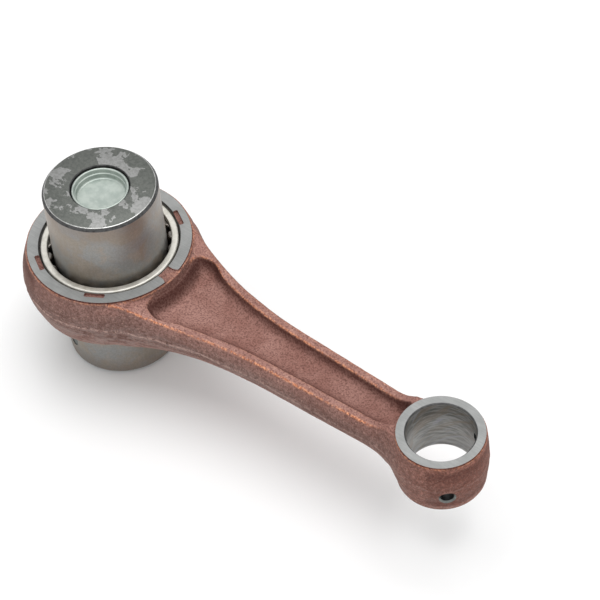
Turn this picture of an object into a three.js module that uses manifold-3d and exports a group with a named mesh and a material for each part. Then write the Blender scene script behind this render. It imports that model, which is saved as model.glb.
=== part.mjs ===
// Connecting rod of a small single-cylinder engine, put together with its caged needle big-end
// bearing and its hollow crank pin. Millimetres. The origin is on the big-end axis in the rod's
// mid-plane, +X points to the small end and +Z runs along both bores.
import * as THREE from 'three';
import { mergeVertices } from 'three/addons/utils/BufferGeometryUtils.js';
import Module from 'manifold-3d';

const wasm = await Module();
wasm.setup();

// ---------- driving dimensions ----------
const CENTRES = 125; // big-end axis to small-end axis
const HALF_WIDTH = 9.75; // mid-plane to the machined side faces
const FACE_STEP = 0.5; // the machined faces stand this far above the forged skin
const SHOULDER = HALF_WIDTH - FACE_STEP;

const BIG_BORE_R = 21.5;
const BIG_FACE_R = 25.3;
const BIG_SHOULDER_R = 25.9;
const BIG_MID_R = 27.9; // at the parting line
const SMALL_BORE_R = 10;
const SMALL_FACE_R = 12.8;
const SMALL_SHOULDER_R = 13.05;
const SMALL_MID_R = 13.8;
const BORE_CHAMFER = 0.2;

const PIN_R = 17.5;
const PIN_HALF_LENGTH = 33.25;
const PIN_CHAMFER = 0.8;
const GALLERY_R = 9;

const ROLLER_COUNT = 22;
const ROLLER_LENGTH = 15.2;
const ROLLER_CLEARANCE = 0.05; // radial, to the pin and to the big-end bore
const ROLLER_R = (BIG_BORE_R - PIN_R) / 2 - ROLLER_CLEARANCE;
const ROLLER_PITCH_R = (BIG_BORE_R + PIN_R) / 2;

const CAGE_OUTER_R = 21.2;
const CAGE_INNER_R = 19.05;
const CAGE_HALF_WIDTH = 9.6;
const CAGE_EDGE = 0.4;
const WINDOW_LENGTH = 15.8;
const WINDOW_WIDTH = 4.4;

const CUT_PAST = 2; // how far a cutter runs past the surface that it opens

// ---------- helpers ----------
// The geometry's corners merged into one closed solid, without its zero-area triangles.
function closedSolid(geometry) {
  const bare = new THREE.BufferGeometry();
  bare.setAttribute('position', geometry.getAttribute('position').clone());
  if (geometry.index) bare.setIndex(geometry.index.clone());
  const merged = mergeVertices(bare, 1e-4);
  const corners = merged.index.array;
  const kept = [];
  for (let i = 0; i < corners.length; i += 3) {
    const [a, b, c] = [corners[i], corners[i + 1], corners[i + 2]];
    if (a !== b && b !== c && c !== a) kept.push(a, b, c);
  }
  const vertProperties = new Float32Array(merged.getAttribute('position').array);
  const triVerts = new Uint32Array(kept);
  return new wasm.Manifold(new wasm.Mesh({ numProp: 3, vertProperties, triVerts }));
}

function toGeometry(solid) {
  const mesh = solid.getMesh();
  const geometry = new THREE.BufferGeometry();
  geometry.setAttribute('position', new THREE.BufferAttribute(mesh.vertProperties, 3));
  geometry.setIndex(new THREE.BufferAttribute(mesh.triVerts, 1));
  geometry.computeVertexNormals();
  return geometry;
}

// Turns a profile of [radius, z] points about the Z axis; the outer side is listed upwards.
function revolve(profile, segments) {
  const points = profile.map(([radius, z]) => new THREE.Vector2(radius, z));
  return new THREE.LatheGeometry(points, segments).rotateX(Math.PI / 2);
}

// A cylinder of radius r along +X, from x = start to x = end, turned by angle about Z.
function radialDrill(radius, start, end, angle, z, segments) {
  const drill = new THREE.CylinderGeometry(radius, radius, end - start, segments);
  drill.rotateZ(-Math.PI / 2);
  drill.translate((start + end) / 2, 0, 0);
  drill.rotateZ(angle);
  return drill.translate(0, 0, z);
}

const radians = THREE.MathUtils.degToRad;

// ---------- connecting rod ----------
const BORE_SEGMENTS = 72;
const SMALL_END_SEGMENTS = BORE_SEGMENTS / 2;
const BULGE_STEPS = 6;

// One forged end without its bore: a machined face each side and a side wall that swells
// smoothly to the parting line.
function forgedEnd(faceR, shoulderR, midR, segments) {
  const profile = [[0, -HALF_WIDTH], [faceR, -HALF_WIDTH], [faceR, -SHOULDER]];
  for (let i = 0; i <= BULGE_STEPS; i++) {
    const z = SHOULDER * (2 * i / BULGE_STEPS - 1);
    profile.push([shoulderR + (midR - shoulderR) * Math.cos(Math.PI / 2 * z / SHOULDER), z]);
  }
  profile.push([faceR, SHOULDER], [faceR, HALF_WIDTH], [0, HALF_WIDTH]);
  return closedSolid(revolve(profile, segments));
}

// A bore cutter with a small chamfer at both machined faces.
function boreCutter(radius) {
  const top = HALF_WIDTH + CUT_PAST;
  const flare = radius + BORE_CHAMFER;
  const edge = HALF_WIDTH - BORE_CHAMFER;
  const profile = [
    [0, -top], [flare, -top], [flare, -HALF_WIDTH], [radius, -edge],
    [radius, edge], [flare, HALF_WIDTH], [flare, top], [0, top],
  ];
  return closedSolid(revolve(profile, BORE_SEGMENTS));
}

// Shank: an I-beam whose width and height both grow in concave sweeps into the two ends.
const NECK_X = 107; // where the sweep into the small end starts
const NECK_HALF_WIDTH = 7.26;
const TAPER = 0.034;
const BIG_SWEEP_X = 68;
const BIG_SWEEP_R = 140;
const SMALL_SWEEP_R = 24.5;
const FLANGE_HALF_HEIGHT = 5.3;
const BIG_RISE_X = 45;
const BIG_RISE_R = 80;
const SMALL_RISE_X = 103;
const SMALL_RISE_R = 12;
const SIDE_BULGE = 2;
const RIM = 2.4; // width of each flange top
const POCKET_WALL_RUN = 1.3;
const WEB_HALF_THICKNESS = 2.4;
const SHANK_START = 16;
const SHANK_END = 118.5;
const SHANK_STATIONS = 26;

const sweep = (distance, radius) => Math.max(0, distance) ** 2 / (2 * radius);

function shankHalfWidth(x) {
  const straight = NECK_HALF_WIDTH + TAPER * (NECK_X - x);
  return straight + sweep(BIG_SWEEP_X - x, BIG_SWEEP_R) + sweep(x - NECK_X, SMALL_SWEEP_R);
}

function flangeHalfHeight(x) {
  const rise = sweep(BIG_RISE_X - x, BIG_RISE_R) + sweep(x - SMALL_RISE_X, SMALL_RISE_R);
  return Math.min(FLANGE_HALF_HEIGHT + rise, SHOULDER - 0.1);
}

function shankSection(x) {
  const width = shankHalfWidth(x);
  const height = flangeHalfHeight(x);
  const rimEdge = width - RIM;
  const floorEdge = rimEdge - POCKET_WALL_RUN;
  const quarter = [
    [width + 0.75 * SIDE_BULGE, height / 2], [width, height],
    [rimEdge, height], [floorEdge, WEB_HALF_THICKNESS],
  ];
  const mirrored = [...quarter].reverse();
  return [
    [width + SIDE_BULGE, 0],
    ...quarter,
    ...mirrored.map(([y, z]) => [-y, z]),
    [-width - SIDE_BULGE, 0],
    ...quarter.map(([y, z]) => [-y, -z]),
    ...mirrored.map(([y, z]) => [y, -z]),
  ];
}

function shank() {
  const positions = [];
  const faces = [];
  const sections = [];
  for (let i = 0; i < SHANK_STATIONS; i++) {
    const x = THREE.MathUtils.lerp(SHANK_START, SHANK_END, i / (SHANK_STATIONS - 1));
    const section = shankSection(x);
    sections.push(section);
    section.forEach(([y, z]) => positions.push(x, y, z));
  }
  const count = sections[0].length;
  for (let i = 0; i < SHANK_STATIONS - 1; i++) {
    for (let j = 0; j < count; j++) {
      const [a, b] = [i * count + j, i * count + (j + 1) % count];
      faces.push(a, b, b + count, a, b + count, a + count);
    }
  }
  const capAt = (station, flip) => {
    const outline = sections[station].map(([y, z]) => new THREE.Vector2(y, z));
    for (const [a, b, c] of THREE.ShapeUtils.triangulateShape(outline, [])) {
      const corner = flip ? [a, c, b] : [a, b, c];
      faces.push(...corner.map((index) => station * count + index));
    }
  };
  capAt(0, true);
  capAt(SHANK_STATIONS - 1, false);
  const geometry = new THREE.BufferGeometry();
  geometry.setAttribute('position', new THREE.Float32BufferAttribute(positions, 3));
  geometry.setIndex(faces);
  return closedSolid(geometry);
}

// Oil pockets in the big-end faces: five short slots near the bore, and on the shank side an
// open channel through the face.
const SLOT_R = 22.45;
const SLOT_LENGTH = 6.3;
const SLOT_WIDTH = 1.5;
const SLOT_DEPTH = 0.8;
const SLOT_ANGLES = [60, 120, 180, 240, 300];
const CHANNEL_WIDTH = 4.8;
const CHANNEL_DEPTH = 0.6;

function oilSlot(angle, side) {
  const half = (SLOT_LENGTH - SLOT_WIDTH) / 2;
  const outline = new THREE.Shape();
  outline.absarc(0, half, SLOT_WIDTH / 2, 0, Math.PI);
  outline.absarc(0, -half, SLOT_WIDTH / 2, Math.PI, 2 * Math.PI);
  const options = { depth: 2 * SLOT_DEPTH, bevelEnabled: false, curveSegments: 4 };
  const slot = new THREE.ExtrudeGeometry(outline, options);
  slot.translate(SLOT_R, 0, side * HALF_WIDTH - SLOT_DEPTH);
  return closedSolid(slot.rotateZ(radians(angle)));
}

function oilChannel(side) {
  const inner = BIG_BORE_R - CUT_PAST;
  const outer = BIG_SHOULDER_R + 1;
  const channel = new THREE.BoxGeometry(outer - inner, CHANNEL_WIDTH, 2 * CHANNEL_DEPTH);
  return closedSolid(channel.translate((inner + outer) / 2, 0, side * HALF_WIDTH));
}

// Oil holes through the small-end wall, in its far half, one above and one below the
// mid-plane, so the rod is the same turned over.
const OIL_HOLE_R = 2;
const OIL_HOLE_ANGLE = 46.5;
const OIL_HOLE_Z = 3.5;
const OIL_HOLE_SEGMENTS = 16;

function smallEndOilHole(side) {
  const [start, end] = [SMALL_BORE_R - CUT_PAST, SMALL_MID_R + CUT_PAST];
  const angle = radians(side * OIL_HOLE_ANGLE);
  const z = side * OIL_HOLE_Z;
  const drill = radialDrill(OIL_HOLE_R, start, end, angle, z, OIL_HOLE_SEGMENTS);
  return closedSolid(drill.translate(CENTRES, 0, 0));
}

function connectingRod() {
  let rod = forgedEnd(BIG_FACE_R, BIG_SHOULDER_R, BIG_MID_R, BORE_SEGMENTS);
  const smallEnd = forgedEnd(SMALL_FACE_R, SMALL_SHOULDER_R, SMALL_MID_R, SMALL_END_SEGMENTS);
  rod = rod.add(smallEnd.translate([CENTRES, 0, 0])).add(shank());
  rod = rod.subtract(boreCutter(BIG_BORE_R));
  rod = rod.subtract(boreCutter(SMALL_BORE_R).translate([CENTRES, 0, 0]));
  for (const side of [1, -1]) {
    for (const angle of SLOT_ANGLES) rod = rod.subtract(oilSlot(angle, side));
    rod = rod.subtract(oilChannel(side));
    rod = rod.subtract(smallEndOilHole(side));
  }
  return toGeometry(rod);
}

// ---------- needle bearing ----------
const rollerAngle = (index) => 2 * Math.PI * index / ROLLER_COUNT;

// The cage is a ring with one straight-sided window per roller.
function needleCage() {
  const profile = [
    [CAGE_INNER_R, -CAGE_HALF_WIDTH],
    [CAGE_OUTER_R - CAGE_EDGE, -CAGE_HALF_WIDTH],
    [CAGE_OUTER_R, -CAGE_HALF_WIDTH + CAGE_EDGE],
    [CAGE_OUTER_R, CAGE_HALF_WIDTH - CAGE_EDGE],
    [CAGE_OUTER_R - CAGE_EDGE, CAGE_HALF_WIDTH],
    [CAGE_INNER_R, CAGE_HALF_WIDTH],
    [CAGE_INNER_R, -CAGE_HALF_WIDTH],
  ];
  let cage = closedSolid(revolve(profile, 4 * ROLLER_COUNT));
  const reach = 2 * (CAGE_OUTER_R - CAGE_INNER_R);
  for (let i = 0; i < ROLLER_COUNT; i++) {
    const window = new THREE.BoxGeometry(reach, WINDOW_WIDTH, WINDOW_LENGTH);
    window.translate((CAGE_OUTER_R + CAGE_INNER_R) / 2, 0, 0);
    cage = cage.subtract(closedSolid(window.rotateZ(rollerAngle(i))));
  }
  return toGeometry(cage);
}

const ROLLER_SEGMENTS = 16;

function roller() {
  const half = ROLLER_LENGTH / 2;
  const profile = [[0, -half], [ROLLER_R, -half], [ROLLER_R, half], [0, half]];
  return toGeometry(closedSolid(revolve(profile, ROLLER_SEGMENTS)));
}

// ---------- crank pin ----------
const PIN_SEGMENTS = 64;
const PIN_HOLE_SEGMENTS = 12;
const FEED_HOLE_R = 1.8; // feeds the bearing, at the middle of the pin
const FEED_HOLE_ANGLE = -23;
const INLET_HOLE_R = 2.4; // takes oil from the crank web
const INLET_HOLE_ANGLE = -112;
const INLET_HOLE_Z = -25.3;

// A tube whose bore is the oil gallery, with two radial holes into it.
function crankPin() {
  const shoulder = PIN_HALF_LENGTH - PIN_CHAMFER;
  const profile = [
    [GALLERY_R, -PIN_HALF_LENGTH], [PIN_R - PIN_CHAMFER, -PIN_HALF_LENGTH],
    [PIN_R, -shoulder], [PIN_R, shoulder],
    [PIN_R - PIN_CHAMFER, PIN_HALF_LENGTH], [GALLERY_R, PIN_HALF_LENGTH],
    [GALLERY_R, -PIN_HALF_LENGTH],
  ];
  const drillIn = (radius, angle, z) => {
    const [start, end] = [GALLERY_R - CUT_PAST, PIN_R + CUT_PAST];
    return closedSolid(radialDrill(radius, start, end, radians(angle), z, PIN_HOLE_SEGMENTS));
  };
  const tube = closedSolid(revolve(profile, PIN_SEGMENTS));
  const feed = drillIn(FEED_HOLE_R, FEED_HOLE_ANGLE, 0);
  const inlet = drillIn(INLET_HOLE_R, INLET_HOLE_ANGLE, INLET_HOLE_Z);
  return toGeometry(tube.subtract(feed).subtract(inlet));
}

// A pressed steel cup that closes one end of the gallery, open side outwards. side is 1 for
// the upper end of the pin and -1 for the lower one.
const PLUG_R = GALLERY_R - 0.3;
const PLUG_WALL = 1.1;
const PLUG_HEIGHT = 6;
const PLUG_FLOOR = 1.4;
const PLUG_RECESS = 0.6; // rim below the pin's end face
const PLUG_SEGMENTS = 36;

function oilPlug(side) {
  const rim = PIN_HALF_LENGTH - PLUG_RECESS;
  const bottom = rim - PLUG_HEIGHT;
  const profile = [
    [0, bottom], [PLUG_R, bottom], [PLUG_R, rim], [PLUG_R - PLUG_WALL, rim],
    [PLUG_R - PLUG_WALL, bottom + PLUG_FLOOR], [0, bottom + PLUG_FLOOR],
  ];
  const cup = closedSolid(revolve(profile, PLUG_SEGMENTS));
  return toGeometry(side > 0 ? cup : cup.rotate([180, 0, 0]));
}

// ---------- assembly ----------
const finishes = {
  forging: new THREE.MeshStandardMaterial({ color: 0x8a5d52, roughness: 0.75, metalness: 0.6 }),
  cage: new THREE.MeshStandardMaterial({ color: 0xd6d2c4, roughness: 0.35, metalness: 0.9 }),
  roller: new THREE.MeshStandardMaterial({ color: 0x76706c, roughness: 0.25, metalness: 1 }),
  pin: new THREE.MeshStandardMaterial({ color: 0x87817a, roughness: 0.35, metalness: 0.9 }),
  plug: new THREE.MeshStandardMaterial({ color: 0xc3cfc4, roughness: 0.4, metalness: 0.8 }),
};

const assembly = new THREE.Group();

function addPart(name, geometry, material) {
  const mesh = new THREE.Mesh(geometry, material);
  mesh.name = name;
  assembly.add(mesh);
  return mesh;
}

addPart('connecting_rod', connectingRod(), finishes.forging);
addPart('needle_cage', needleCage(), finishes.cage);
for (let i = 0; i < ROLLER_COUNT; i++) {
  const name = `roller_${String(i + 1).padStart(2, '0')}`;
  const angle = rollerAngle(i);
  const place = [ROLLER_PITCH_R * Math.cos(angle), ROLLER_PITCH_R * Math.sin(angle), 0];
  addPart(name, roller(), finishes.roller).position.set(...place);
}
addPart('crank_pin', crankPin(), finishes.pin);
addPart('oil_plug_upper', oilPlug(1), finishes.plug);
addPart('oil_plug_lower', oilPlug(-1), finishes.plug);

export default assembly;
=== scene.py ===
import math

import bpy
import numpy as np
from mathutils import Matrix, Quaternion, Vector


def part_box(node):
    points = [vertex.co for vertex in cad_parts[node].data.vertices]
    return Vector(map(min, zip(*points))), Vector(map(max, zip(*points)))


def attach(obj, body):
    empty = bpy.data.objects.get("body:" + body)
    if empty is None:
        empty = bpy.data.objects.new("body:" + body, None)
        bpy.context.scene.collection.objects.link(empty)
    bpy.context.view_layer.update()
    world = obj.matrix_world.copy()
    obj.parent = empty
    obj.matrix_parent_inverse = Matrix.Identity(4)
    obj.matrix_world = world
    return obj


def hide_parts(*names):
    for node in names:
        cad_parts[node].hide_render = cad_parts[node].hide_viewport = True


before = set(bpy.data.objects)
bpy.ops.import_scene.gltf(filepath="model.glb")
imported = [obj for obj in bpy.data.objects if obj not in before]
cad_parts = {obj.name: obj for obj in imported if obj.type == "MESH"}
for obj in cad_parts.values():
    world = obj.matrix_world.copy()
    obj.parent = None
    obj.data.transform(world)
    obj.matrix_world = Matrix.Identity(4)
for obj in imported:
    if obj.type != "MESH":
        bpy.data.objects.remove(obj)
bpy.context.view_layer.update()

MM = 0.001
TURN = 2 * math.pi

# ---------- sizes from the frame, in millimetres ----------


def box_mm(node):
    """Lowest and highest corner of a CAD node, in millimetres."""
    low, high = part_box(node)
    return low / MM, high / MM


ROLLERS = [name for name in sorted(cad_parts) if name.startswith("roller_")]

rod_low, rod_high = box_mm("connecting_rod")
pin_high = box_mm("crank_pin")[1]
cage_high = box_mm("needle_cage")[1]
roller_low, roller_high = box_mm(ROLLERS[0])
plug_low, plug_high = box_mm("oil_plug_upper")

HALF_WIDTH = rod_high.z  # mid-plane to the machined side faces
BIG_MID_R = -rod_low.x  # big end at the parting line
SMALL_MID_R = 13.8  # small end at the parting line
CENTRES = rod_high.x - SMALL_MID_R
BIG_BORE_R = 21.5
BIG_FACE_R = 25.3
BIG_SHOULDER_R = 25.8
SMALL_BORE_R = 10
SMALL_FACE_R = 12.8
SMALL_SHOULDER_R = 13.1
SHOULDER = HALF_WIDTH - 0.5  # the machined faces stand above the forged skin
BORE_CHAMFER = 0.4

PIN_R = pin_high.x
PIN_HALF_LENGTH = pin_high.z
ROLLER_R = (roller_high.x - roller_low.x) / 2
ROLLER_HALF_LENGTH = roller_high.z
CAGE_OUTER_R = cage_high.x
CAGE_HALF_WIDTH = cage_high.z
PLUG_R = plug_high.x

BORE_SEGMENTS = 144
CAGE_SEGMENTS = 264
PIN_SEGMENTS = 160
PLUG_SEGMENTS = 96
SMALL_ROUND_SEGMENTS = 40  # rollers and oil holes
CUT_PAST = 2  # how far a cutter runs past the surface that it opens


# ---------- mesh tools ----------


def make_object(name, points_mm, faces, materials):
    """A mesh object at the origin with its points given in millimetres in the row frame."""
    mesh = bpy.data.meshes.new(name)
    mesh.from_pydata((np.asarray(points_mm) * MM).tolist(), [], faces)
    for material in materials:
        mesh.materials.append(material)
    made = bpy.data.objects.new(name, mesh)
    bpy.context.scene.collection.objects.link(made)
    return made


def shade(piece, angle):
    """Smooth shading, with creases sharper than angle kept crisp."""
    piece.data.shade_smooth()
    piece.data.set_sharp_from_angle(angle=math.radians(angle))


def revolve(name, profile, segments, materials, slots=None, closed=False):
    """Turns a profile of (radius, z) about Z. It starts and ends on the axis, or closed joins its
    ends. slots gives the material index of each of the profile's edges."""
    points, rings = [], []
    turn = TURN * np.arange(segments) / segments
    for radius, z in profile:
        first = len(points)
        if radius == 0:
            points.append((0, 0, z))
            rings.append([first] * segments)
        else:
            points += [(radius * math.cos(a), radius * math.sin(a), z) for a in turn]
            rings.append(list(range(first, first + segments)))
    pairs = list(zip(rings, rings[1:] + rings[:1])) if closed else list(zip(rings, rings[1:]))
    faces, indices = [], []
    for edge, (below, above) in enumerate(pairs):
        for i in range(segments):
            j = (i + 1) % segments
            corners = list(dict.fromkeys([below[i], below[j], above[j], above[i]]))
            if len(corners) > 2:
                faces.append(corners)
                indices.append(slots[edge] if slots else 0)
    made = make_object(name, points, faces, materials)
    made.data.polygons.foreach_set("material_index", indices)
    return made


def rounded(points, radii, steps=5):
    """The outline with an arc of the given radius in place of each corner whose radius isn't 0."""
    made = []
    count = len(points)
    for i, radius in enumerate(radii):
        corner = np.array(points[i], float)
        if radius == 0:
            made.append(tuple(corner))
            continue
        before = np.array(points[i - 1], float) - corner
        after = np.array(points[(i + 1) % count], float) - corner
        before /= np.linalg.norm(before)
        after /= np.linalg.norm(after)
        half = math.acos(float(np.clip(before @ after, -1, 1))) / 2
        middle = (before + after) / np.linalg.norm(before + after)
        centre = corner + middle * radius / math.sin(half)
        start = corner + before * radius / math.tan(half) - centre
        end = corner + after * radius / math.tan(half) - centre
        span = math.pi - 2 * half
        for step in range(steps + 1):
            share = step / steps
            near = math.sin((1 - share) * span) / math.sin(span)
            far = math.sin(share * span) / math.sin(span)
            made.append(tuple(centre + start * near + end * far))
    return made


def prism(name, outline, low, high, materials):
    """A closed prism: outline is (x, y) anticlockwise, from z = low to z = high."""
    count = len(outline)
    points = [(x, y, low) for x, y in outline] + [(x, y, high) for x, y in outline]
    faces = [list(range(count))[::-1], list(range(count, 2 * count))]
    faces += [[i, (i + 1) % count, count + (i + 1) % count, count + i] for i in range(count)]
    return make_object(name, points, faces, materials)


def turn_mesh(piece, axis, degrees):
    """Turns a piece's own points about a row-frame axis through the origin."""
    piece.data.transform(Matrix.Rotation(math.radians(degrees), 4, axis))
    return piece


def shift_mesh(piece, x=0.0, y=0.0, z=0.0):
    """Moves a piece's own points, in millimetres."""
    piece.data.transform(Matrix.Translation(Vector((x, y, z)) * MM))
    return piece


def cut(piece, cutters):
    """Subtracts each cutter, and leaves the cut faces with the cutter's materials."""
    for cutter in cutters:
        modifier = piece.modifiers.new("cut", "BOOLEAN")
        modifier.operation = "DIFFERENCE"
        modifier.solver = "MANIFOLD"
        modifier.material_mode = "TRANSFER"
        modifier.object = cutter
    depsgraph = bpy.context.evaluated_depsgraph_get()
    mesh = bpy.data.meshes.new_from_object(piece.evaluated_get(depsgraph))
    piece.modifiers.clear()
    piece.data = mesh
    for cutter in cutters:
        bpy.data.objects.remove(cutter)


def surface_net(field, low, high, step):
    """Points and four-sided faces of the surface where field(x, y, z) is 0, inside below 0."""
    axes = [np.arange(a, b + step, step) for a, b in zip(low, high)]
    values = field(*np.meshgrid(*axes, indexing="ij", sparse=True))
    shape = np.array(values.shape) - 1
    total = np.zeros((*shape, 3), np.float32)
    count = np.zeros(shape, np.float32)
    crossings = []
    for axis in range(3):
        ahead = [slice(None)] * 3
        behind = [slice(None)] * 3
        behind[axis], ahead[axis] = slice(None, -1), slice(1, None)
        a, b = values[tuple(behind)], values[tuple(ahead)]
        crossed = (a < 0) != (b < 0)
        crossings.append((crossed, a < 0))
        share = np.where(crossed, a / np.where(crossed, a - b, 1), 0).astype(np.float32)
        u, v = [other for other in range(3) if other != axis]
        for du in (0, 1):
            for dv in (0, 1):
                part = [slice(None)] * 3
                part[u] = slice(du, du + shape[u])
                part[v] = slice(dv, dv + shape[v])
                hit = crossed[tuple(part)]
                total[..., axis] += share[tuple(part)]
                total[..., u] += hit * du
                total[..., v] += hit * dv
                count += hit
    active = count > 0
    index = np.full(shape, -1, np.int64)
    index[active] = np.arange(active.sum())
    cells = np.argwhere(active)
    points = (cells + total[active] / count[active][:, None]) * step + np.array(low)
    faces = []
    for axis, (crossed, inside) in enumerate(crossings):
        u, v = (axis + 1) % 3, (axis + 2) % 3
        edges = np.argwhere(crossed)
        edges = edges[(edges[:, u] > 0) & (edges[:, v] > 0)]
        edges = edges[(edges[:, u] < shape[u]) & (edges[:, v] < shape[v])]
        ring = []
        for back_u, back_v in ((1, 1), (0, 1), (0, 0), (1, 0)):
            cell = edges.copy()
            cell[:, u] -= back_u
            cell[:, v] -= back_v
            ring.append(index[tuple(cell.T)])
        quads = np.stack(ring, 1)
        flip = ~inside[tuple(edges.T)]
        quads[flip] = quads[flip][:, ::-1]
        faces.append(quads)
    return points, np.concatenate(faces)


def gradient(field, points, reach=0.02):
    """The field's unit normals at points."""
    slopes = []
    for axis in range(3):
        step = np.zeros(3)
        step[axis] = reach
        slopes.append(field(*(points + step).T) - field(*(points - step).T))
    slopes = np.stack(slopes, 1)
    return slopes / np.linalg.norm(slopes, axis=1)[:, None]


def lumps(points, size, seed, waves=14):
    """A smooth uneven value of about -1 to 1 at each point, with bumps about size apart."""
    chance = np.random.default_rng(seed)
    made = np.zeros(len(points))
    for _ in range(waves):
        direction = chance.normal(size=3)
        direction *= TURN / (size * chance.uniform(0.8, 2.2)) / np.linalg.norm(direction)
        made += np.cos(points @ direction + chance.uniform(0, TURN))
    return made / math.sqrt(waves)


# ---------- material tools ----------


class Nodes:
    """Short names for building one material's node tree."""

    def __init__(self, name):
        self.material = bpy.data.materials.new(name)
        self.material.use_nodes = True
        self.tree = self.material.node_tree
        self.shader = self.tree.nodes["Principled BSDF"]
        self.here = self.add("ShaderNodeTexCoord").outputs["Object"]

    def add(self, kind, inputs=(), **settings):
        node = self.tree.nodes.new(kind)
        for key, value in settings.items():
            setattr(node, key, value)
        for key, value in dict(inputs).items():
            self.put(node.inputs[key], value)
        return node

    def put(self, socket, value):
        """Links an output to the socket, or sets a plain value on it."""
        if isinstance(value, bpy.types.NodeSocket):
            self.tree.links.new(value, socket)
        else:
            socket.default_value = value

    def stretch(self, scale, rotation=(0, 0, 0)):
        """The object's coordinates turned and then scaled: below 1 makes a pattern longer."""
        inputs = {"Vector": self.here, "Scale": scale, "Rotation": rotation}
        return self.add("ShaderNodeMapping", inputs).outputs["Vector"]

    def noise(self, size_mm, detail=3, roughness=0.5, vector=None, distortion=0.0):
        """Noise from 0 to 1 with blobs about size_mm across."""
        inputs = {
            "Vector": vector or self.here, "Scale": 1 / (size_mm * MM), "Detail": detail,
            "Roughness": roughness, "Distortion": distortion,
        }
        return self.add("ShaderNodeTexNoise", inputs).outputs["Fac"]

    def attribute(self, name):
        return self.add("ShaderNodeAttribute", attribute_name=name).outputs["Fac"]

    def span(self, value, low, high, to_low=0.0, to_high=1.0):
        """Maps low..high smoothly onto to_low..to_high, clamped."""
        inputs = {
            "Value": value, "From Min": low, "From Max": high, "To Min": to_low,
            "To Max": to_high,
        }
        node = self.add("ShaderNodeMapRange", inputs, interpolation_type="SMOOTHSTEP")
        return node.outputs["Result"]

    def math(self, operation, a, b=0.0):
        return self.add("ShaderNodeMath", {0: a, 1: b}, operation=operation).outputs[0]

    def times(self, a, b):
        return self.math("MULTIPLY", a, b)

    def mix(self, share, a, b):
        """Mixes two colours."""
        node = self.add("ShaderNodeMix", data_type="RGBA")
        self.put(node.inputs["Factor"], share)
        self.put(node.inputs[6], a if isinstance(a, bpy.types.NodeSocket) else (*a, 1))
        self.put(node.inputs[7], b if isinstance(b, bpy.types.NodeSocket) else (*b, 1))
        return node.outputs[2]

    def separate(self):
        """The object's x, y and z, in metres."""
        return self.add("ShaderNodeSeparateXYZ", {"Vector": self.here}).outputs

    def polar(self, centre_x_mm=0.0):
        """The angle about a bore's axis, in radians."""
        x, y, _ = self.separate()
        x = self.math("SUBTRACT", x, centre_x_mm * MM)
        return self.math("ARCTAN2", y, x)

    def combine(self, x, y, z):
        return self.add("ShaderNodeCombineXYZ", {0: x, 1: y, 2: z}).outputs[0]

    def bump(self, height, strength, distance_mm):
        inputs = {"Height": height, "Strength": strength, "Distance": distance_mm * MM}
        return self.add("ShaderNodeBump", inputs).outputs["Normal"]

    def finish(self, colour, roughness, metallic, normal=None):
        """Connects the shader's main inputs and gives the material."""
        self.put(self.shader.inputs["Base Color"], colour)
        self.put(self.shader.inputs["Roughness"], roughness)
        self.put(self.shader.inputs["Metallic"], metallic)
        if normal is not None:
            self.put(self.shader.inputs["Normal"], normal)
        return self.material


# ---------- materials ----------
# Places along the rod, or from the pin's middle, where a tint starts and where it is full.
REDDER_START, REDDER_FULL = 50, 115
RUSSET_START, RUSSET_FULL = 100, 148
PIN_BROWN_START, PIN_BROWN_FULL = 25.5, 31.5


def pink_skin(n, grain, glint):
    """The forging's upper skin: pink copper, dark in its grain and redder to the small end, with
    a painted highlight and painted glints on the flange tops.
    """
    cloud = n.noise(11, 4, 0.55, distortion=0.4)
    top = n.attribute("top")
    pink = n.mix(n.span(cloud, 0.35, 0.68), (0.32, 0.16, 0.132), (0.445, 0.248, 0.21))
    redder = n.span(n.separate()[0], REDDER_START * MM, REDDER_FULL * MM, 0, 0.5)
    pink = n.mix(redder, pink, (0.255, 0.124, 0.102))
    # the flange tops painted lighter: a painted highlight
    pink = n.mix(n.times(top, 0.3), pink, (0.54, 0.31, 0.265))
    pink = n.mix(n.span(grain, 0.34, 0.58), n.mix(0.6, pink, (0.075, 0.027, 0.023)), pink)
    # painted glints, stronger on the flange tops
    return n.mix(n.times(glint, n.span(top, 0, 1, 0.15, 0.5)), pink, (0.66, 0.4, 0.32))


def brown_skin(n, grain, glint, speckle):
    """The upright skin: brown, russet round the small end and with a painted grey sheen
    underneath, with dark streaks along the rod."""
    specks = n.span(speckle, 0.4, 0.62)
    brown = n.mix(specks, (0.16, 0.092, 0.079), (0.265, 0.168, 0.148))
    russet = n.mix(specks, (0.235, 0.09, 0.064), (0.38, 0.163, 0.122))
    to_small_end = n.span(n.separate()[0], RUSSET_START * MM, RUSSET_FULL * MM)
    brown = n.mix(to_small_end, brown, russet)
    brown = n.mix(n.span(grain, 0.4, 0.54), n.mix(0.5, brown, (0.05, 0.025, 0.02)), brown)
    brown = n.mix(n.times(glint, 0.5), brown, (0.5, 0.32, 0.26))
    along = n.noise(1.3, 4, 0.65, n.stretch((0.1, 0.6, 1)))
    brown = n.mix(n.span(along, 0.38, 0.5, 0.3, 0), brown, (0.09, 0.047, 0.04))
    # a painted sheen of light: grey streaks low on the upright skin
    grey = n.times(n.span(along, 0.42, 0.6), n.attribute("under"))
    return n.mix(n.times(grey, 0.85), brown, (0.325, 0.266, 0.246))


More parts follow.
